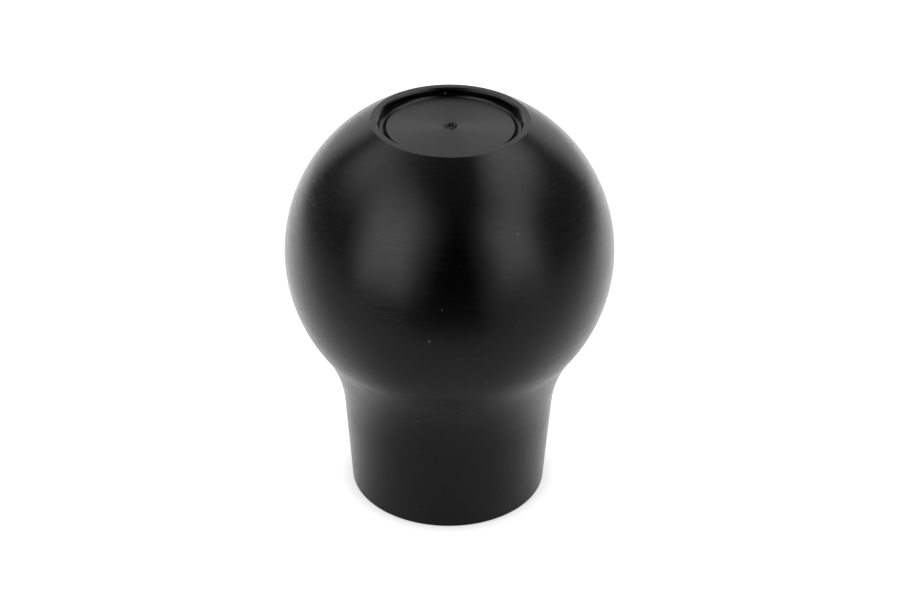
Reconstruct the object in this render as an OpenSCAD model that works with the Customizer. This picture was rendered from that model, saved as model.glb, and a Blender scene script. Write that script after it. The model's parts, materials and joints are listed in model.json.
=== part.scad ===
// Round gear shift knob, turned from one bar of black plastic.
// The base stands on z = 0 and the turning axis is the Z axis.
// A ball runs down through a hollow blend into a slightly tapered neck.
// The ball is cut off flat on top, with a shallow round recess for a badge.
// The lever screws into a blind threaded hole in the base.

/* [Ball] */
// Diameter of the ball
ball_d = 50.8; // [46:0.1:58]
// Overall height, from the base to the flat rim on top
knob_h = 64; // [56:0.5:80]
// Outer diameter of the flat rim, where the ball is cut off
rim_d = 24; // [22.5:0.1:32]

/* [Neck] */
// Diameter of the neck at the base, before the edge is broken
neck_base_d = 31.1; // [24:0.1:35]
// Angle at which each side of the neck leans outwards going up
neck_taper = 4; // [0:0.1:7]
// Radius of the hollow blend between the neck and the ball
neck_blend_r = 25.6; // [10:0.1:30]
// Width of the broken edge around the base
base_chamfer = 0.15; // [0.1:0.05:2]

/* [Badge recess] */
// Diameter of the recess wall
recess_d = 21.5; // [16:0.1:23]
// Depth of the recess floor below the rim
recess_depth = 1.1; // [0.5:0.05:4]
// Width of the chamfer on the inner lip of the rim
lip_chamfer = 0.25; // [0.05:0.05:0.7]
// Width of the round-bottomed groove between the floor and the wall
groove_w = 1.1; // [0.5:0.05:3]
// Depth of the groove below the recess floor
groove_depth = 0.55; // [0.3:0.05:2]

/* [Facing mark] */
// Diameter of the shallow dish that the facing cut leaves at the centre
dish_d = 2.1; // [1:0.1:4]
// Depth of the dish at its centre
dish_depth = 0.14; // [0.05:0.01:0.4]
// Diameter of the small round pip left standing in the dish
pip_d = 0.7; // [0.3:0.05:0.9]
// Height of the pip above the bottom of the dish
pip_rise = 0.12; // [0.02:0.01:0.15]

/* [Lever thread] */
// Nominal diameter of the metric lever thread
thread_d = 12; // [8:1:16]
// Thread pitch
thread_pitch = 1.25; // [0.75:0.25:2]
// Length of full thread above the base
thread_depth = 28; // [12:0.5:36]
// Distance that the tapping drill runs on past the full thread
drill_run = 3.5; // [1:0.5:6]
// Full angle of the drill's point
drill_point = 118; // [90:1:140]
// Width of the countersink outside the thread's nominal diameter
mouth_chamfer = 0.5; // [0.2:0.1:1.5]

/* [Hidden] */
$fn = 240;
// Overlap that keeps a cut clear of the face that it opens through
over = 0.5;
// Hair's breadth that the blend's cut is larger, so that it crosses the neck's
// side and the ball just beside the points where it would only touch them
ease = 0.001;

ball_r = ball_d / 2;
rim_r = rim_d / 2;
neck_r = neck_base_d / 2;
recess_r = recess_d / 2;
floor_z = knob_h - recess_depth;
groove_r = groove_w / 2;

// Height of the ball's centre, which puts the rim on the ball's surface
ball_h = knob_h - sqrt(ball_r * ball_r - rim_r * rim_r);

// Unit vectors in the section plane, up along the neck's side and square out of it
neck_along = [sin(neck_taper), cos(neck_taper)];
neck_out = [cos(neck_taper), -sin(neck_taper)];

// The blend circle touches both the neck's side and the ball, so its centre is
// one blend radius off the side and the two radii together off the ball's centre
foot_from_ball = [neck_r, -ball_h];
centre_gap = ball_r + neck_blend_r;
across = foot_from_ball * neck_out + neck_blend_r;
below = sqrt(centre_gap * centre_gap - across * across);
blend_rise = -(foot_from_ball * neck_along) - below;
blend_foot = [neck_r, 0] + blend_rise * neck_along;
blend_c = blend_foot + neck_blend_r * neck_out;

// The tapping drill's radius is that of the thread's crests
bore_r = (thread_d - thread_pitch) / 2;
mouth_r = thread_d / 2 + mouth_chamfer;
bore_h = thread_depth + drill_run;
point_h = bore_r / tan(drill_point / 2);

// The dish is a shallow cap cut by a ball of this radius
dish_r = (dish_d * dish_d / 4 + dish_depth * dish_depth) / (2 * dish_depth);
dish_z = floor_z - dish_depth;

module ball_outline() {
    translate([0, ball_h]) circle(r = ball_r);
}

// The neck's straight side, with the broken edge at its foot, run on a little
// way up inside the blend
module neck_outline() {
    neck_top = blend_foot + over * neck_along;
    polygon([
        [0, 0],
        [neck_r - base_chamfer, 0],
        [neck_r, 0] + base_chamfer * neck_along,
        neck_top,
        [0, neck_top.y]
    ]);
}

// The web between neck and ball, hollowed by the blend's own circle
module blend_outline() {
    difference() {
        polygon([[0, blend_foot.y], blend_foot, blend_c, [0, ball_h]]);
        translate(blend_c) circle(r = neck_blend_r + ease);
    }
}

// Straight wall and flat floor, with the lip chamfer above
module recess_outline() {
    translate([0, floor_z]) square([recess_r, recess_depth + over]);
    polygon([
        [0, knob_h - lip_chamfer],
        [recess_r, knob_h - lip_chamfer],
        [recess_r + lip_chamfer + over, knob_h + over],
        [0, knob_h + over]
    ]);
}

// Full-round groove whose outer side runs on down from the recess wall
module groove_outline() {
    round_z = floor_z - groove_depth + groove_r;
    translate([recess_r - groove_r, round_z]) circle(r = groove_r);
    translate([recess_r - groove_w, round_z]) square([groove_w, groove_depth + recess_depth]);
}

// Shallow dish with the round pip left standing in its middle
module dish_outline() {
    difference() {
        translate([0, dish_z + dish_r]) circle(r = dish_r);
        translate([0, dish_z + pip_rise - pip_d / 2]) circle(r = pip_d / 2);
    }
}

// Tapped hole with its countersunk mouth and the drill's point
module bore_outline() {
    mouth_h = mouth_r - bore_r;
    translate([0, -over]) square([bore_r, bore_h + over]);
    polygon([[0, bore_h], [bore_r, bore_h], [0, bore_h + point_h]]);
    polygon([[0, -over], [mouth_r + over, -over], [bore_r, mouth_h], [0, mouth_h]]);
}

module knob_outline() {
    intersection() {
        difference() {
            union() {
                ball_outline();
                neck_outline();
                blend_outline();
            }
            recess_outline();
            groove_outline();
            dish_outline();
            bore_outline();
        }
        square([ball_r + over, knob_h]);
    }
}

module knob_body() {
    color("#17181a") rotate_extrude() knob_outline();
}

knob_body();
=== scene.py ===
# %% [markdown]
# # A turned gear shift knob
# The real knob is one piece of black acetal, turned on a lathe: a ball with a flat rim and a
# shallow badge recess on top, running down through a hollow blend into a tapered neck.
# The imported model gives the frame, with the base on z = 0 and the turning axis on Z. This
# script spins the same section finely, cuts the lever thread that the solid leaves plain,
# and gives the surface the satin look and turning marks of machined acetal.

# %% Load the frame
import json
from math import atan2, cos, exp, hypot, pi, radians, sin, sqrt, tan

import bmesh
import bpy
from mathutils import Matrix, Vector, noise

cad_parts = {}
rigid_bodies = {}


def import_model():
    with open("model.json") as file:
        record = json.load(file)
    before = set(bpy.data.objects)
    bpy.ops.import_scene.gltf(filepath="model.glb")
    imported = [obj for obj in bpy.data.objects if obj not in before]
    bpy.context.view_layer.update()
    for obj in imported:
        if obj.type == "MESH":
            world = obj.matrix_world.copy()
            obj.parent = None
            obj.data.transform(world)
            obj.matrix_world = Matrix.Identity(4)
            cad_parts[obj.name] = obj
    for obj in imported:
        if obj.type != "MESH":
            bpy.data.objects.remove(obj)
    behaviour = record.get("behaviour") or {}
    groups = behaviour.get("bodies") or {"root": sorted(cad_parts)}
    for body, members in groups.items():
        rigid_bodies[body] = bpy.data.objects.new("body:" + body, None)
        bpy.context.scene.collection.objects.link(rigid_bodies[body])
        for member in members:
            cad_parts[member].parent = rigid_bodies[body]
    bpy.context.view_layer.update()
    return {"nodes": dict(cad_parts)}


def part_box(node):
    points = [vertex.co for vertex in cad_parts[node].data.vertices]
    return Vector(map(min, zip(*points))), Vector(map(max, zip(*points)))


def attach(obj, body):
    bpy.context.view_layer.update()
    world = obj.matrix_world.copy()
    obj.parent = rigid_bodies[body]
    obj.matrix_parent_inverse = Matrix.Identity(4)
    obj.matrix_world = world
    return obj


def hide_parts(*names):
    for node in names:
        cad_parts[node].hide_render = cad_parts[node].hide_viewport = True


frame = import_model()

knob_low, knob_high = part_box("knob_body")
knob_height = (knob_high.z - knob_low.z) * 1000
print("frame:", sorted(frame["nodes"]), "height", round(knob_height, 2), "mm")

# %% [markdown]
# ## Units
# A maker thinks in millimetres and Blender's scene is in metres, so every size below is
# written in millimetres and turned into metres at the last moment. Points of the knob that
# lie closer than a hair's breadth are one and the same.

# %% Millimetres to metres
MM = 0.001
SAME_POINT = 0.0005


def point(r, z):
    """A point of the section, r out from the turning axis and z above the base, in mm."""
    return Vector((r * MM, 0.0, z * MM))


# %% [markdown]
# ## Camera
# The photograph looks down on the knob at about 32 degrees with a long lens. The ball's
# outline alone can't give the distance, but the ellipse of the rim, the neck's taper and
# the base together do, and they fix the camera to within a few millimetres. It is built
# from those plain facts: how far, how high, how long a lens and the slight lean.

# %% Place the camera
CAMERA_DISTANCE = 340.1
CAMERA_ELEVATION = 31.561
CAMERA_LEAN = 0.444
CAMERA_LENS = 86.94
AIM_AT = Vector((0.135, 0.0, 32.51))

elevation = radians(CAMERA_ELEVATION)
lean = radians(CAMERA_LEAN)
forward = Vector((0.0, cos(elevation), -sin(elevation)))
level_right = Vector((1.0, 0.0, 0.0))
level_up = Vector((0.0, sin(elevation), cos(elevation)))
camera_right = cos(lean) * level_right + sin(lean) * level_up
camera_up = cos(lean) * level_up - sin(lean) * level_right

camera = bpy.data.objects.new("camera", bpy.data.cameras.new("camera"))
bpy.context.scene.collection.objects.link(camera)
camera.data.lens = CAMERA_LENS
camera.data.clip_start = 0.01
turn = Matrix((camera_right, camera_up, -forward)).transposed().to_4x4()
camera.matrix_world = Matrix.Translation((AIM_AT - CAMERA_DISTANCE * forward) * MM) @ turn
bpy.context.scene.camera = camera
print("camera at", [round(v * 1000, 1) for v in camera.matrix_world.translation], "mm")

# %% [markdown]
# ## The knob's section
# A lathe makes a shape whose every cross-section is a circle, so the model is a flat
# section spun about the axis. The section could be typed in as a long list of points, but
# a turner would give it as lines and arcs: the ball's radius, the neck's taper and the
# radius of the blend that touches both. A pen that draws lines and arcs keeps it that way.

# %% Sizes of the section, in mm
KNOB_H = knob_high.z / MM
BALL_R = 25.4
RIM_R = 12.0
NECK_R = 15.55
NECK_TAPER = radians(4.0)
BLEND_R = 25.6
BASE_CHAMFER = 0.15
RECESS_R = 10.75
RECESS_DEPTH = 1.1
LIP_CHAMFER = 0.25
GROOVE_R = 0.55
DISH_R = 1.05
DISH_DEPTH = 0.14
PIP_R = 0.35
PIP_RISE = 0.12
TORN_R = 1.5
CREST_R = 5.375
MOUTH_R = 6.5
BORE_H = 31.5
DRILL_POINT = radians(118.0)
EDGE = 0.06

floor_z = KNOB_H - RECESS_DEPTH
ball_z = KNOB_H - sqrt(BALL_R**2 - RIM_R**2)
print("ball centre", round(ball_z, 3), "mm up, recess floor", round(floor_z, 3), "mm up")

# %% [markdown]
# The blend touches the neck's straight side and the ball. Its centre is therefore one
# blend radius off the side, and both radii together off the ball's centre.

# %% Where the blend touches the neck and the ball
along = Vector((sin(NECK_TAPER), cos(NECK_TAPER)))
outward = Vector((cos(NECK_TAPER), -sin(NECK_TAPER)))
foot_from_ball = Vector((NECK_R, -ball_z))
across = foot_from_ball.dot(outward) + BLEND_R
below = sqrt((BALL_R + BLEND_R) ** 2 - across**2)
neck_top = Vector((NECK_R, 0.0)) + (-foot_from_ball.dot(along) - below) * along
blend_c = neck_top + BLEND_R * outward
ball_foot = Vector((0.0, ball_z)) + (blend_c - Vector((0.0, ball_z))) * BALL_R / (BALL_R + BLEND_R)
print("straight neck up to", [round(v, 2) for v in neck_top])
print("ball from", [round(v, 2) for v in ball_foot])

# %% [markdown]
# The pen keeps the last vertex that it drew. A line extrudes that vertex to a new place,
# and an arc spins it about a centre in the section's plane.

# %% A pen for the section
class Pen:
    """Draws a chain of lines and arcs in the plane of x and z, in mm."""

    def __init__(self, r, z):
        self.bm = bmesh.new()
        self.tip = self.bm.verts.new(point(r, z))
        self.corners = []

    def line(self, r, z):
        made = bmesh.ops.extrude_vert_indiv(self.bm, verts=[self.tip])
        self.tip = made["verts"][0]
        bmesh.ops.translate(self.bm, verts=[self.tip], vec=point(r, z) - self.tip.co)
        return self

    def arc(self, centre_r, centre_z, r, z, steps):
        """Turns about the centre, the short way round, to the direction of (r, z)."""
        here = self.tip.co / MM
        start = atan2(here.z - centre_z, here.x - centre_r)
        end = atan2(z - centre_z, r - centre_r)
        angle = (end - start + pi) % (2 * pi) - pi
        made = bmesh.ops.spin(
            self.bm, geom=[self.tip], cent=point(centre_r, centre_z), axis=(0, -1, 0),
            angle=angle, steps=steps, use_duplicate=False,
        )
        self.tip = [v for v in made["geom_last"] if isinstance(v, bmesh.types.BMVert)][0]
        bmesh.ops.translate(self.bm, verts=[self.tip], vec=point(r, z) - self.tip.co)
        return self

    def corner(self, radius):
        """Marks the tip as a corner to be rounded with this radius."""
        self.corners.append((self.tip, radius))
        return self


# %% [markdown]
# Freshly cut plastic has no perfectly sharp edge: the tool and a wipe with a cloth leave a
# round of a few hundredths of a millimetre, which is what catches the light as a thin line.
# Each corner of the section is marked as it is drawn, and rounded by a vertex bevel. The
# floor gets close rings of points around its centre, for the tool mark that comes later.

# %% Draw the section from the pip on the recess floor round to the drill's point
TORN_RINGS = 5
QUARTERS = (0.25, 0.5, 0.75)

dish_z = floor_z - DISH_DEPTH
dish_ball_r = (DISH_R**2 + DISH_DEPTH**2) / (2 * DISH_DEPTH)
pip_c = dish_z + PIP_RISE - PIP_R
lip_z = KNOB_H - LIP_CHAMFER

# The pip's dome meets the dish where two circles on the axis cross
dish_c = dish_z + dish_ball_r
cross_z = (dish_c**2 - pip_c**2 - dish_ball_r**2 + PIP_R**2) / (2 * (dish_c - pip_c))
cross_r = sqrt(PIP_R**2 - (cross_z - pip_c) ** 2)

pen = Pen(0.0, pip_c + PIP_R)
pen.arc(0, pip_c, cross_r, cross_z, 6)
pen.arc(0, dish_c, DISH_R, floor_z, 12).corner(EDGE)
for ring in range(1, TORN_RINGS + 1):
    pen.line(DISH_R + ring * (TORN_R - DISH_R) / TORN_RINGS, floor_z)
for share in QUARTERS:
    pen.line(TORN_R + share * (RECESS_R - 2 * GROOVE_R - TORN_R), floor_z)
pen.line(RECESS_R - 2 * GROOVE_R, floor_z).corner(EDGE)
pen.arc(RECESS_R - GROOVE_R, floor_z, RECESS_R - GROOVE_R, floor_z - GROOVE_R, 8)
pen.arc(RECESS_R - GROOVE_R, floor_z, RECESS_R, floor_z, 8)
pen.line(RECESS_R, lip_z).corner(EDGE / 2)
pen.line(RECESS_R + LIP_CHAMFER, KNOB_H).corner(EDGE / 2)
pen.line(RIM_R, KNOB_H).corner(EDGE)
pen.arc(0, ball_z, BALL_R, ball_z, 32)
pen.arc(0, ball_z, ball_foot.x, ball_foot.y, 18)
pen.arc(blend_c.x, blend_c.y, neck_top.x, neck_top.y, 18)
for share in reversed(QUARTERS):
    pen.line(NECK_R + share * (neck_top.x - NECK_R), share * neck_top.y)
pen.line(NECK_R + BASE_CHAMFER * along.x, BASE_CHAMFER * along.y).corner(EDGE)
pen.line(NECK_R - BASE_CHAMFER, 0).corner(EDGE)
pen.line((NECK_R + MOUTH_R) / 2, 0)
pen.line(MOUTH_R, 0).corner(EDGE)
pen.line(CREST_R, MOUTH_R - CREST_R)
for share in QUARTERS:
    pen.line(CREST_R, MOUTH_R - CREST_R + share * (BORE_H - MOUTH_R + CREST_R))
pen.line(CREST_R, BORE_H)
pen.line(0, BORE_H + CREST_R / tan(DRILL_POINT / 2))
print("section:", len(pen.bm.verts), "points,", len(pen.corners), "corners")

# %% Round the corners
for radius in sorted({radius for _, radius in pen.corners}):
    bmesh.ops.bevel(
        pen.bm, geom=[v for v, its_radius in pen.corners if its_radius == radius],
        offset=radius * MM, offset_type="OFFSET", segments=3, profile=0.5,
        affect="VERTICES", clamp_overlap=True, material=-1,
    )
print("section with rounded corners:", len(pen.bm.verts), "points")

# %% [markdown]
# ## Spin the section
# One full spin makes the whole body. Its first and last copies of the section meet, so
# they are merged, and so are the many copies of the two points that lie on the axis.

# %% Spin the body
SPIN_STEPS = 240

body_bm = pen.bm
bmesh.ops.spin(
    body_bm, geom=body_bm.verts[:] + body_bm.edges[:], cent=(0, 0, 0), axis=(0, 0, 1),
    angle=2 * pi, steps=SPIN_STEPS, use_merge=True, use_duplicate=False,
)
bmesh.ops.remove_doubles(body_bm, verts=body_bm.verts, dist=SAME_POINT * MM)
bmesh.ops.recalc_face_normals(body_bm, faces=body_bm.faces)
print("body:", len(body_bm.faces), "faces, open edges:", sum(e.is_boundary for e in body_bm.edges))


# %% Make an object of a bmesh
def make_object(name, bm, material=None):
    """Turns a bmesh into an object at the origin."""
    mesh = bpy.data.meshes.new(name)
    bm.to_mesh(mesh)
    bm.free()
    if material:
        mesh.materials.append(material)
    made = bpy.data.objects.new(name, mesh)
    bpy.context.scene.collection.objects.link(made)
    return made


# %% [markdown]
# ## The torn centre of the recess floor
# A facing cut slows to nothing at the axis, so the tool can't shear the last bit of
# plastic. It tears it instead: a pit with a nib left standing in it, a shallower pit on the
# left and a curl of plastic on the right. It is two millimetres across, yet it is the only
# thing that breaks the calm of the floor, so its points are moved by a few soft pushes.
# Where a push has torn the plastic, a fine noise makes the tear ragged.

# %% Tear the centre
TEARS = [
    # from where to where, how wide and how high each push is, in mm: the pit and its nib
    ((-0.2, 0.62), (0.46, 0.76), 0.20, -0.35),
    ((-0.25, 0.6), (-0.15, 0.15), 0.10, -0.20),
    ((0.2, 0.42), (0.26, 0.42), 0.19, 0.30),
    ((0.16, -0.1), (0.16, -0.1), 0.12, -0.40),
    ((0.43, 0.7), (0.45, -0.15), 0.10, -0.28),
    # the lip in front of the pit and the curl on the right
    ((0.1, -0.6), (0.4, -0.6), 0.26, 0.23),
    ((0.58, -0.42), (0.78, -0.1), 0.11, -0.30),
    ((0.78, -0.1), (0.92, 0.5), 0.10, -0.30),
    # the shallow pit on the left
    ((-0.8, 0.05), (-0.6, 0.05), 0.36, -0.21),
    ((-0.8, -0.52), (-0.52, -0.52), 0.16, -0.32),
]
TEAR_GRAIN = 0.18
TEAR_HEIGHT = 0.03
# A push of this size is enough for the full raggedness
RAGGED_FROM = 0.05
# The dish's deepest point is less than this below the floor
NEAR_FLOOR = 0.3


def push(here, start, end, wide, high):
    """How far one push lifts a point: a soft ridge or furrow along a line."""
    start, line = Vector(start), Vector(end) - Vector(start)
    share = (here - start).dot(line) / max(line.length_squared, 1e-9)
    off = here - start - min(1.0, max(0.0, share)) * line
    return high * exp(-(off.length / wide) ** 2)


torn = [v for v in body_bm.verts
        if v.co.z > (floor_z - NEAR_FLOOR) * MM and hypot(v.co.x, v.co.y) < TORN_R * MM]
for v in torn:
    here = Vector((v.co.x, v.co.y)) / MM
    inside = 1.0 - (here.length / TORN_R) ** 4
    rise = sum(push(here, *tear) for tear in TEARS)
    ragged = noise.noise(Vector((here.x, here.y, 0.0)) / TEAR_GRAIN)
    v.co.z += (rise + TEAR_HEIGHT * ragged * min(1.0, abs(rise) / RAGGED_FROM)) * inside * MM
print("torn centre:", len(torn), "points moved")

# %% [markdown]
# ## The lever thread
# The base has a tapped hole. A tap cuts a 60 degree groove that climbs by one pitch a turn,
# so the cutter here is that groove's own section on a screw path, taken out of the spun
# body. The groove starts below the base, as a tap does, and runs out at full depth.

# %% A cutter in the form of the thread groove
THREAD_R = 6.0
PITCH = 1.25
THREAD_DEPTH = 28.0
FLANK = radians(30.0)
ROOT_FLAT = PITCH / 8
THREAD_STEPS = 48
RUN_UP = 1.5
CUTTER_IN = 0.25

cutter_bm = bmesh.new()
inner_r = CREST_R - CUTTER_IN
half_in = ROOT_FLAT / 2 + (THREAD_R - inner_r) * tan(FLANK)
groove = [cutter_bm.verts.new(point(r, z - RUN_UP * PITCH)) for r, z in (
    (inner_r, -half_in), (THREAD_R, -ROOT_FLAT / 2), (THREAD_R, ROOT_FLAT / 2), (inner_r, half_in))]
cutter_bm.faces.new(groove)
turns = (THREAD_DEPTH + RUN_UP * PITCH) / PITCH
steps = round(turns * THREAD_STEPS)
bmesh.ops.spin(
    cutter_bm, geom=cutter_bm.faces[:] + cutter_bm.edges[:] + cutter_bm.verts[:], cent=(0, 0, 0),
    axis=(0, 0, 1), dvec=(0, 0, PITCH / THREAD_STEPS * MM), angle=2 * pi * turns, steps=steps,
    use_merge=False, use_duplicate=False)
bmesh.ops.recalc_face_normals(cutter_bm, faces=cutter_bm.faces)
print("cutter:", len(cutter_bm.faces), "faces, open edges:",
      sum(e.is_boundary for e in cutter_bm.edges),
      "top", round(max(v.co.z for v in cutter_bm.verts) / MM, 2))

# %% Cut the thread
plain_body = make_object("plain_body", body_bm)
cutter = make_object("thread_cutter", cutter_bm)
tap = plain_body.modifiers.new("tap", "BOOLEAN")
tap.operation = "DIFFERENCE"
tap.solver = "EXACT"
tap.object = cutter
bpy.context.view_layer.update()
depsgraph = bpy.context.evaluated_depsgraph_get()
threaded_bm = bmesh.new()
threaded_bm.from_object(plain_body, depsgraph)
bpy.data.objects.remove(plain_body)
bpy.data.objects.remove(cutter)
bmesh.ops.remove_doubles(threaded_bm, verts=threaded_bm.verts, dist=SAME_POINT * MM)
print("threaded body:", len(threaded_bm.faces), "faces, open edges:",
      sum(not e.is_manifold for e in threaded_bm.edges))


# %% [markdown]
# ## Satin black acetal
# Acetal is a hard, slippery plastic that turns cleanly. Off the lathe it is neither glossy
# nor matt: reflections are soft-edged, and the tool's feed leaves fine rings that can be
# seen only where a bright reflection crosses them. Its black is deep, so nearly all that
# the eye gets is the shine, and the roughness and the feed marks have to carry the look.

# %% Colours and nodes
def linear(hex_colour):
    """An sRGB hex colour as the linear RGBA that shaders take."""
    channels = [int(hex_colour[i:i + 2], 16) / 255 for i in (1, 3, 5)]
    curve = [c / 12.92 if c <= 0.04045 else ((c + 0.055) / 1.055) ** 2.4 for c in channels]
    return (*curve, 1.0)


def add_node(tree, kind, inputs=None, **settings):
    """Adds one node. inputs maps a socket's name or number to a value or an output."""
    node = tree.nodes.new(kind)
    for key, value in settings.items():
        setattr(node, key, value)
    for key, value in (inputs or {}).items():
        if isinstance(value, bpy.types.NodeSocket):
            tree.links.new(value, node.inputs[key])
        else:
            node.inputs[key].default_value = value
    return node


def new_material(name):
    """An empty material and its node tree."""
    material = bpy.data.materials.new(name)
    material.use_nodes = True
    material.node_tree.nodes.clear()
    return material, material.node_tree


# %% [markdown]
# The feed of the tool leaves grooves that run round the axis, finer than the eye can part.
# Light spreads across them and hardly along them, so every reflection is drawn out up and
# down the ball and stays crisp from side to side. How fine they are depends on the cut.
# Facing the flats leaves coarser grooves than turning the ball or plunging the round
# groove, while the recess wall is burnished by the side of the tool and shines most.

# %% Roughness of each cut
TURNED_ROUGHNESS = 0.245
FACED_ROUGHNESS = 0.286
PLUNGED_ROUGHNESS = 0.2
WALL_ROUGHNESS = 0.13

acetal, tree = new_material("turned_black_acetal")
place = add_node(tree, "ShaderNodeTexCoord")
split = add_node(tree, "ShaderNodeSeparateXYZ", {0: place.outputs["Object"]})
flat = add_node(tree, "ShaderNodeCombineXYZ", {"X": split.outputs["X"], "Y": split.outputs["Y"]})
radius = add_node(tree, "ShaderNodeVectorMath", {0: flat.outputs[0]}, operation="LENGTH")
in_ring = add_node(
    tree, "ShaderNodeMath",
    {0: radius.outputs["Value"], 1: (RECESS_R - GROOVE_R + LIP_CHAMFER / 2) * MM,
     2: (GROOVE_R + LIP_CHAMFER / 2) * MM},
    operation="COMPARE")
over_groove = add_node(
    tree, "ShaderNodeMath", {0: split.outputs["Z"], 1: floor_z * MM}, operation="GREATER_THAN")
ring_roughness = add_node(
    tree, "ShaderNodeMix",
    {"Factor": over_groove.outputs[0], "A": PLUNGED_ROUGHNESS, "B": WALL_ROUGHNESS})
top_roughness = add_node(
    tree, "ShaderNodeMix",
    {"Factor": in_ring.outputs[0], "A": FACED_ROUGHNESS, "B": ring_roughness.outputs["Result"]})
inside_rim = add_node(
    tree, "ShaderNodeMath", {0: radius.outputs["Value"], 1: RIM_R * MM}, operation="LESS_THAN")
near_top = add_node(
    tree, "ShaderNodeMath", {0: split.outputs["Z"], 1: (floor_z - 2 * GROOVE_R) * MM},
    operation="GREATER_THAN")
on_top = add_node(
    tree, "ShaderNodeMath", {0: inside_rim.outputs[0], 1: near_top.outputs[0]},
    operation="MULTIPLY")
roughness = add_node(
    tree, "ShaderNodeMix",
    {"Factor": on_top.outputs[0], "A": TURNED_ROUGHNESS, "B": top_roughness.outputs["Result"]})

# %% [markdown]
# The real grooves are about a tenth of a millimetre apart, too fine for this picture. What
# the eye still gets of them is a faint streakiness in the highlights, where some grooves
# are cut a little rougher than others. It is drawn as short arcs round the axis, three
# times as coarse as the grooves, by a noise that is stretched the way round.

# %% Arcs left by the feed
RING_SPACING = 0.3
ARC_LENGTH = radians(7.0)
RING_HEIGHT = 0.005
RING_UNEVENNESS = 0.22
# Nearly all of the noise lies between these two
NOISE_LOW, NOISE_HIGH = 0.2, 0.8

heading = add_node(tree, "ShaderNodeVectorMath", {0: flat.outputs[0]}, operation="NORMALIZE")
way_round = add_node(
    tree, "ShaderNodeVectorMath",
    {0: heading.outputs[0], "Scale": RING_SPACING * MM / ARC_LENGTH}, operation="SCALE")
height = add_node(tree, "ShaderNodeCombineXYZ", {"Z": split.outputs["Z"]})
arc_place = add_node(
    tree, "ShaderNodeVectorMath", {0: way_round.outputs[0], 1: height.outputs[0]}, operation="ADD")
rings = add_node(
    tree, "ShaderNodeTexNoise",
    {"Vector": arc_place.outputs[0], "W": radius.outputs["Value"],
     "Scale": 1 / (RING_SPACING * MM), "Detail": 2.0},
    noise_dimensions="4D")
# The faced floor and the recess show no streaks, so there the roughness stays even
unevenness = add_node(
    tree, "ShaderNodeMix", {"Factor": on_top.outputs[0], "A": RING_UNEVENNESS, "B": 0.0})
more_or_less = add_node(
    tree, "ShaderNodeMapRange",
    {"Value": rings.outputs["Fac"], "From Min": NOISE_LOW, "From Max": NOISE_HIGH, "To Min": -1.0})
uneven = add_node(
    tree, "ShaderNodeMath",
    {0: more_or_less.outputs["Result"], 1: unevenness.outputs["Result"], 2: 1.0},
    operation="MULTIPLY_ADD")
ringed_roughness = add_node(
    tree, "ShaderNodeMath", {0: roughness.outputs["Result"], 1: uneven.outputs[0]},
    operation="MULTIPLY")
bump = add_node(
    tree, "ShaderNodeBump",
    {"Height": rings.outputs["Fac"], "Distance": RING_HEIGHT * MM, "Strength": 1.0})

# %% [markdown]
# A few grains of dust have settled since the knob was last wiped, each a pale, rough spot
# of about a quarter of a millimetre. Small as they are, they give the eye the scale.

# %% Grains of dust
DUST_GREY = "#777572"
DUST_ROUGHNESS = 0.8
# A grain covers all within the first share of its width from its middle, none past the last
GRAIN_FULL, GRAIN_END = 0.4, 0.55
GRAINS = [
    # where each grain lies and how wide it is, in mm
    ((-2.85, -25.23, 40.94), 0.32),
    ((9.81, -18.97, 55.37), 0.28),
    ((-1.02, -24.97, 46.15), 0.16),
    ((-17.06, -1.84, 60.34), 0.2),
    ((-16.99, -4.36, 59.98), 0.24),
    ((-20.87, -1.98, 55.96), 0.18),
    ((-0.88, 10.71, 63.11), 0.26),
]


def grain_cover(tree, place, grains):
    """An output that is 1 on any of the grains and 0 between them."""
    cover = None
    for at, wide in grains:
        off = add_node(
            tree, "ShaderNodeVectorMath",
            {0: place.outputs["Object"], 1: Vector(at) * MM}, operation="DISTANCE")
        grain = add_node(
            tree, "ShaderNodeMapRange",
            {"Value": off.outputs["Value"], "From Min": GRAIN_END * wide * MM,
             "From Max": GRAIN_FULL * wide * MM})
        cover = grain.outputs["Result"] if cover is None else add_node(
            tree, "ShaderNodeMath", {0: cover, 1: grain.outputs["Result"]},
            operation="MAXIMUM").outputs[0]
    return cover


dust = grain_cover(tree, place, GRAINS)
print("dust:", len(GRAINS), "grains")

# %% [markdown]
# The shader draws the reflections out by anisotropy, turned a quarter from a tangent that
# runs round the axis. Under the dust the shine is gone and the dust's own grey shows.

# %% Turned black acetal
ACETAL_BLACK = "#030303"
ACETAL_IOR = 1.48
ACROSS_GROOVES = 0.88
QUARTER_TURN = 0.25

round_axis = add_node(
    tree, "ShaderNodeVectorMath", {0: (0.0, 0.0, 1.0), 1: flat.outputs[0]},
    operation="CROSS_PRODUCT")
dusty_roughness = add_node(
    tree, "ShaderNodeMix", {"Factor": dust, "A": ringed_roughness.outputs[0], "B": DUST_ROUGHNESS})
dusty_black = add_node(
    tree, "ShaderNodeMix", {0: dust, 6: linear(ACETAL_BLACK), 7: linear(DUST_GREY)},
    data_type="RGBA")
shader = add_node(
    tree, "ShaderNodeBsdfPrincipled",
    {"Base Color": dusty_black.outputs[2], "Roughness": dusty_roughness.outputs["Result"],
     "IOR": ACETAL_IOR, "Anisotropic": ACROSS_GROOVES, "Anisotropic Rotation": QUARTER_TURN,
     "Tangent": round_axis.outputs["Vector"], "Normal": bump.outputs["Normal"]})
add_node(tree, "ShaderNodeOutputMaterial", {"Surface": shader.outputs[0]})
print("acetal:", len(tree.nodes), "nodes")

# %% [markdown]
# Smooth shading takes the normal of each corner from all the faces that meet there, so the
# narrow round along an edge tilts the shading of the wide flat beside it. Weighting each
# face by its area gives the flat its own normal back and leaves the turn to the round.

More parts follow.
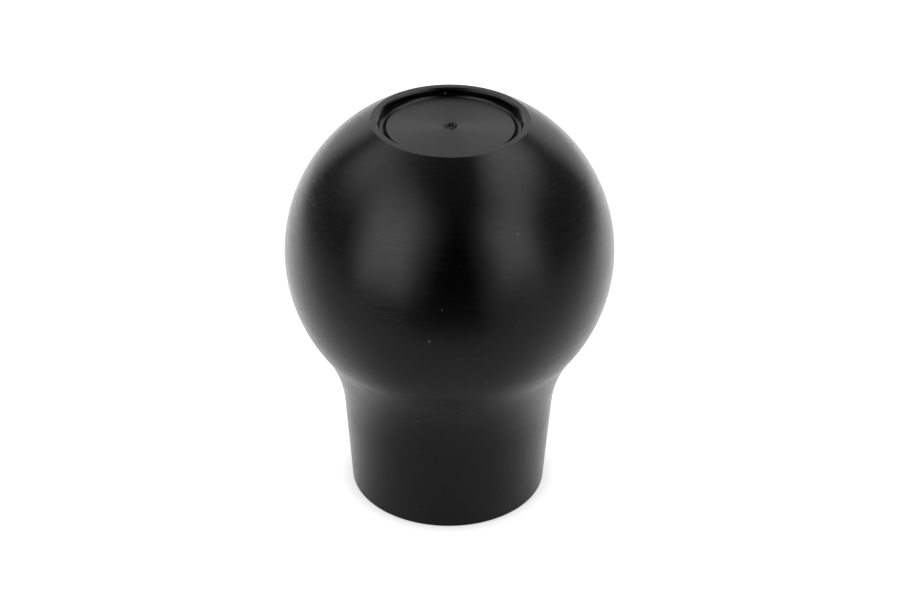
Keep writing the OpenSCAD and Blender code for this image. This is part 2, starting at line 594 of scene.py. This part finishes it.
# %% Keep the flats flat in the shading
def weight_normals_by_area(mesh):
    """Gives every corner that isn't on a sharp edge the area-weighted normal of its point."""
    normals = [Vector() for _ in mesh.vertices]
    for face in mesh.polygons:
        for index in face.vertices:
            normals[index] += face.normal * face.area / MM**2
    for edge in mesh.edges:
        if edge.use_edge_sharp:
            for index in edge.vertices:
                normals[index] = Vector()
    mesh.normals_split_custom_set([normals[loop.vertex_index].normalized() for loop in mesh.loops])
    print("weighted normals:", sum(n.length > 0 for n in normals), "of", len(normals), "points")


# %% Stand the spun body in for the plain solid
SHARP_FROM = radians(50.0)

body = make_object("turned_knob", threaded_bm, acetal)
body.data.shade_smooth()
body.data.set_sharp_from_angle(angle=SHARP_FROM)
weight_normals_by_area(body.data)
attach(body, "root")
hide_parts("knob_body")

# %% [markdown]
# ## Studio
# The photograph is a plain product shot: white paper on a table, one softbox on each side
# in front, paler panels above the sides and behind, and a dark room behind the camera. The
# ball mirrors all of it, so its shading is the map from which the lamps were placed.
# The paper shows the camera a plain white that only darkens close to the knob, in its real
# shadow and in a painted contact shadow.
# The knob mirrors it as a painted pool of light that begins behind the knob and ends in a
# painted shadow of the knob.

# %% White paper with its real shadow, a painted contact shadow and a painted pool of light
PAPER_WHITE = "#d8d8d8"
PAPER_HALF = Vector((900.0, 600.0))
PAPER_FRONT = -96.0
PAPER_BELOW = 0.02
PAPER_GLOW = 0.77
# The painted contact shadow: how far from the knob it reaches and how far it dims the glow
PAINTED_CONTACT_REACH = 2.6
PAINTED_CONTACT_GLOW = 0.35
# A painted pool of light behind the knob, with a painted shadow of the knob in it, seen only in
# reflections
PAINTED_POOL_CENTRE = Vector((0.0, 270.0, 0.0))
PAINTED_POOL_FROM, PAINTED_POOL_TO = 330.0, 225.0
PAINTED_POOL_GLOW = 1.08
PAINTED_SHADE_CENTRE = Vector((0.0, -42.0, 0.0))
PAINTED_SHADE_FROM, PAINTED_SHADE_TO = 22.0, 53.0


def stage_object(name, bm, material):
    """Turns a bmesh into a piece of the stage."""
    made = make_object(name, bm, material)
    return made


paper, tree = new_material("white_paper")
rays = add_node(tree, "ShaderNodeLightPath")
place = add_node(tree, "ShaderNodeTexCoord")
off_painted_pool = add_node(
    tree, "ShaderNodeVectorMath",
    {0: place.outputs["Object"], 1: PAINTED_POOL_CENTRE * MM}, operation="DISTANCE")
painted_pool = add_node(
    tree, "ShaderNodeMapRange",
    {"Value": off_painted_pool.outputs["Value"], "From Min": PAINTED_POOL_FROM * MM, "From Max": PAINTED_POOL_TO * MM,
     "To Max": PAINTED_POOL_GLOW},
    interpolation_type="SMOOTHSTEP")
# A painted shadow of the knob: the painted pool of light fades out on the paper around the knob
off_painted_shade = add_node(
    tree, "ShaderNodeVectorMath",
    {0: place.outputs["Object"], 1: PAINTED_SHADE_CENTRE * MM}, operation="DISTANCE")
painted_shade = add_node(
    tree, "ShaderNodeMapRange",
    {"Value": off_painted_shade.outputs["Value"], "From Min": PAINTED_SHADE_FROM * MM, "From Max": PAINTED_SHADE_TO * MM},
    interpolation_type="SMOOTHSTEP")
painted_pool_light = add_node(
    tree, "ShaderNodeMath", {0: painted_pool.outputs["Result"], 1: painted_shade.outputs["Result"]},
    operation="MULTIPLY")
# Only reflections see the painted pool of light and its painted shadow
painted_pool_in_reflections = add_node(
    tree, "ShaderNodeMath", {0: rays.outputs["Is Glossy Ray"], 1: painted_pool_light.outputs[0]},
    operation="MULTIPLY")
# Painted contact shadow: the paper's glow to the camera dims where the knob closes it in
open_paper = add_node(
    tree, "ShaderNodeAmbientOcclusion", {"Distance": PAINTED_CONTACT_REACH * MM}, samples=6)
camera_glow_with_painted_shadow = add_node(
    tree, "ShaderNodeMapRange",
    {"Value": open_paper.outputs["AO"], "To Min": PAINTED_CONTACT_GLOW, "To Max": PAPER_GLOW})
glow = add_node(
    tree, "ShaderNodeMath",
    {0: rays.outputs["Is Camera Ray"], 1: camera_glow_with_painted_shadow.outputs[0], 2: painted_pool_in_reflections.outputs[0]},
    operation="MULTIPLY_ADD")
lit = add_node(tree, "ShaderNodeBsdfDiffuse", {"Color": linear(PAPER_WHITE)})
# The glow holds the painted contact shadow and the painted pool of light
white = add_node(tree, "ShaderNodeEmission", {"Strength": glow.outputs[0]})
both = add_node(tree, "ShaderNodeAddShader", {0: lit.outputs[0], 1: white.outputs[0]})
add_node(tree, "ShaderNodeOutputMaterial", {"Surface": both.outputs[0]})
# Only rays that hit the paper by themselves see it glow, so it isn't sampled as a lamp
paper.cycles.emission_sampling = "NONE"

paper_bm = bmesh.new()
bmesh.ops.create_grid(paper_bm, x_segments=1, y_segments=1, size=1.0)
bmesh.ops.scale(paper_bm, vec=(PAPER_HALF.x * MM, PAPER_HALF.y * MM, 1), verts=paper_bm.verts)
# A hair below the base, so that the two faces don't lie in one plane
bmesh.ops.translate(
    paper_bm, vec=(0, (PAPER_FRONT + PAPER_HALF.y) * MM, -PAPER_BELOW * MM), verts=paper_bm.verts)
stage_object("paper", paper_bm, paper)

# %% White background for the camera, dark room for everything else
ROOM_SIDES = 0.14
ROOM_DARK_FROM, ROOM_DARK_TO = -0.95, -0.35
ROOM_FLOOR = 0.06
HORIZON = -0.06

world = bpy.data.worlds.new("studio")
bpy.context.scene.world = world
world.use_nodes = True
tree = world.node_tree
tree.nodes.clear()
rays = add_node(tree, "ShaderNodeLightPath")
way = add_node(tree, "ShaderNodeTexCoord")
split = add_node(tree, "ShaderNodeSeparateXYZ", {0: way.outputs["Generated"]})
sides = add_node(
    tree, "ShaderNodeMapRange",
    {"Value": split.outputs["Y"], "From Min": ROOM_DARK_FROM, "From Max": ROOM_DARK_TO,
     "To Max": ROOM_SIDES},
    interpolation_type="SMOOTHSTEP")
under_horizon = add_node(
    tree, "ShaderNodeMapRange",
    {"Value": split.outputs["Z"], "From Min": 0.0, "From Max": HORIZON, "To Max": ROOM_FLOOR})
room = add_node(
    tree, "ShaderNodeMath", {0: sides.outputs["Result"], 1: under_horizon.outputs["Result"]},
    operation="MAXIMUM")
seen = add_node(
    tree, "ShaderNodeMath", {0: rays.outputs["Is Camera Ray"], 1: room.outputs[0]},
    operation="MAXIMUM")
sky = add_node(tree, "ShaderNodeBackground", {"Strength": seen.outputs[0]})
add_node(tree, "ShaderNodeOutputWorld", {"Surface": sky.outputs[0]})

# %% [markdown]
# A real softbox is brightest in the middle and fades towards its edge. Each light is
# therefore a stack of lamps, each a little larger and a little further back than the last,
# and a dimmer light around each softbox gives it the bright middle.

# %% Softboxes and panels
AIM_LIGHTS = Vector((0.0, 0.0, 40.0))
LAMP_DISTANCE = 600.0
SOFT_EDGE = 9.0
LAYERS = 3
LAYER_GAP = 12.0


def lamp_layer(name, azimuth, elevation, wide, high, radiance, distance):
    """A lamp facing the knob. Azimuth 0 is in front and 90 on the right; all in degrees."""
    lamp = bpy.data.lights.new(name, "AREA")
    lamp.shape = "RECTANGLE"
    lamp.size = 2 * distance * tan(radians(wide / 2)) * MM
    lamp.size_y = 2 * distance * tan(radians(high / 2)) * MM
    lamp.energy = radiance * pi * lamp.size * lamp.size_y
    made = bpy.data.objects.new(name, lamp)
    bpy.context.scene.collection.objects.link(made)
    a, e = radians(azimuth), radians(elevation)
    towards = Vector((sin(a) * cos(e), -cos(a) * cos(e), sin(e)))
    made.matrix_world = (
        Matrix.Translation((AIM_LIGHTS + distance * towards) * MM)
        @ towards.to_track_quat("Z", "Y").to_matrix().to_4x4())
    made.visible_camera = False


def panel(name, azimuth, elevation, wide, high, radiance):
    """A soft-edged light: a few lamps behind each other, each a little larger than the last."""
    for layer in range(LAYERS):
        more = (layer - (LAYERS - 1) / 2) * SOFT_EDGE
        lamp_layer(
            f"{name}_{layer}", azimuth, elevation, wide + more, high + more, radiance / LAYERS,
            LAMP_DISTANCE + layer * LAYER_GAP)


# azimuth, elevation, width and height in degrees, and radiance
panel("left_softbox_edge", -45, 28, 58, 54, 0.53)
panel("left_softbox_middle", -45, 16, 35, 41, 1.01)
panel("right_softbox_edge", 47, 14, 50, 63, 0.37)
panel("right_softbox_middle", 48, 27, 26, 38, 1.20)
panel("left_panel", -81, 48, 77, 34, 0.73)
panel("left_panel_middle", -110, 44, 22, 20, 0.35)
panel("right_panel", 102, 55, 49, 32, 1.26)
panel("right_panel_middle", 120, 54, 22, 18, 0.25)
panel("back_panel", 179, 2, 87, 67, 0.75)
panel("back_top_panel", 180, 54, 50, 36, 0.46)

# %% Colour management
bpy.context.scene.view_settings.view_transform = "Standard"
